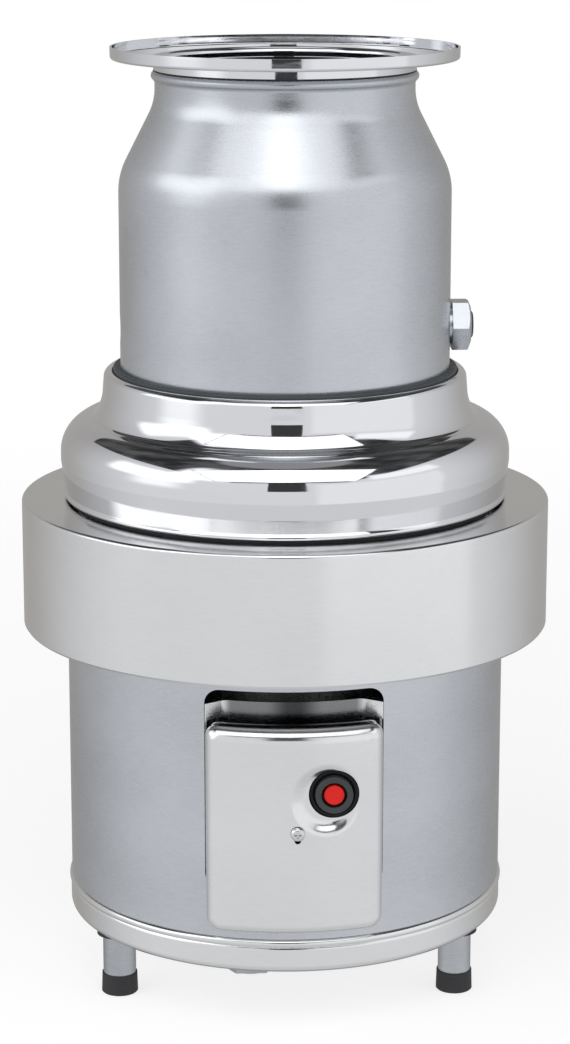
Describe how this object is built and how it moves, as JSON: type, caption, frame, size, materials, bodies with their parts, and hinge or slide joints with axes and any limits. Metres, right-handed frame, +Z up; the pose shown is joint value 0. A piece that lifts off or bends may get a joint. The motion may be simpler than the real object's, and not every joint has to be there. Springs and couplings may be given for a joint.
{
  "type": "food waste disposer",
  "caption": "Free-standing commercial food-waste disposer: sink flange, stainless grind chamber, polished trim, motor shell with reset button, and legs.",
  "frame": {"origin": "on the floor, on the motor axis", "axes": "+Z up along the motor axis, -Y towards the front where the terminal box and reset button are, +X towards the water inlet"},
  "size_m": [0.356, 0.356, 0.6323],
  "materials": {
    "polished_chrome": "mirror polished",
    "polished_stainless": "bright polished",
    "satin_stainless": "satin, fine horizontal grain",
    "galvanised_steel": "dull zinc",
    "leg_tube": "satin tube",
    "zinc_hardware": "zinc plated",
    "brass_hardware": "plain",
    "rubber": "matte",
    "black_plastic": "satin moulded",
    "grey_plastic": "satin moulded",
    "red_plastic": "satin moulded",
    "phenolic": "moulded",
    "cast_aluminium": "as cast",
    "cast_housing": "coated casting",
    "cutting_alloy": "ground alloy",
    "painted_steel": "enamel",
    "laminations": "stacked sheet",
    "copper": "enamelled wire",
    "bearing_steel": "ground"
  },
  "bodies": {
    "frame": {"mounting_flange": "polished_chrome", "flange_gasket": "rubber", "upper_chamber": "satin_stainless", "water_inlet_coupling": "satin_stainless", "inlet_plug": "grey_plastic", "chamber_gasket": "rubber", "shoulder_trim": "polished_chrome", "trim_gasket": "rubber", "skirt_ring": "polished_stainless", "motor_shell": "satin_stainless", "base_pan": "polished_stainless", "base_plate": "galvanised_steel", "leg_left": "leg_tube", "leg_right": "leg_tube", "leg_rear": "leg_tube", "foot_tips": "rubber", "leg_washers": "rubber", "leg_nuts": "zinc_hardware", "terminal_box": "galvanised_steel", "terminal_cover": "polished_stainless", "cover_screw": "zinc_hardware", "reset_bezel": "black_plastic", "reset_collar": "grey_plastic", "reset_spring": "zinc_hardware", "overload_protector": "phenolic", "terminal_block": "phenolic", "terminal_screws": "brass_hardware", "conduit_gland": "galvanised_steel", "gland_nut": "galvanised_steel", "lower_end_bell": "cast_aluminium", "motor_can": "painted_steel", "stator_core": "laminations", "stator_windings": "copper", "upper_end_bell": "cast_aluminium", "motor_bolts": "zinc_hardware", "lower_bearing_outer": "bearing_steel", "upper_bearing_cup": "bearing_steel", "oil_seal": "rubber", "lip_seal": "rubber", "waste_housing": "cast_housing", "housing_posts": "zinc_hardware", "housing_gasket": "rubber", "clamp_bolts": "zinc_hardware", "stationary_shredder": "cutting_alloy", "drain_elbow": "cast_housing", "drain_gasket": "rubber", "drain_bolts": "zinc_hardware"},
    "rotor": {"motor_shaft": "bearing_steel", "rotor_core": "laminations", "rotor_cage": "cast_aluminium", "lower_bearing_inner": "bearing_steel", "upper_bearing_cone": "bearing_steel", "bearing_locknut": "bearing_steel", "rotating_shredder": "cutting_alloy", "shredder_washer": "zinc_hardware", "shredder_bolt": "zinc_hardware", "drive_key": "bearing_steel"},
    "roller_set": {"upper_rollers": "bearing_steel"},
    "ball_set": {"lower_balls": "bearing_steel"},
    "button": {"reset_button": "red_plastic"}
  },
  "joints": [
    {"name": "rotor_spin", "type": "hinge", "parent": "frame", "child": "rotor", "pos_m": [0, 0, 0], "axis": [0, 0, 1], "continuous": true},
    {"name": "roller_orbit", "type": "hinge", "parent": "frame", "child": "roller_set", "pos_m": [0, 0, 0], "axis": [0, 0, 1], "continuous": true},
    {"name": "ball_orbit", "type": "hinge", "parent": "frame", "child": "ball_set", "pos_m": [0, 0, 0], "axis": [0, 0, 1], "continuous": true},
    {"name": "reset_press", "type": "slide", "parent": "frame", "child": "button", "axis": [0, 1, 0], "range_m": [0, 0.0025], "stiffness_N_per_m": 600, "springref_m": -0.004, "deforming": ["reset_spring"]}
  ],
  "couplings": [
    {"joint": "roller_orbit", "follows": "rotor_spin", "ratio": 0.4268},
    {"joint": "ball_orbit", "follows": "rotor_spin", "ratio": 0.3925}
  ]
}
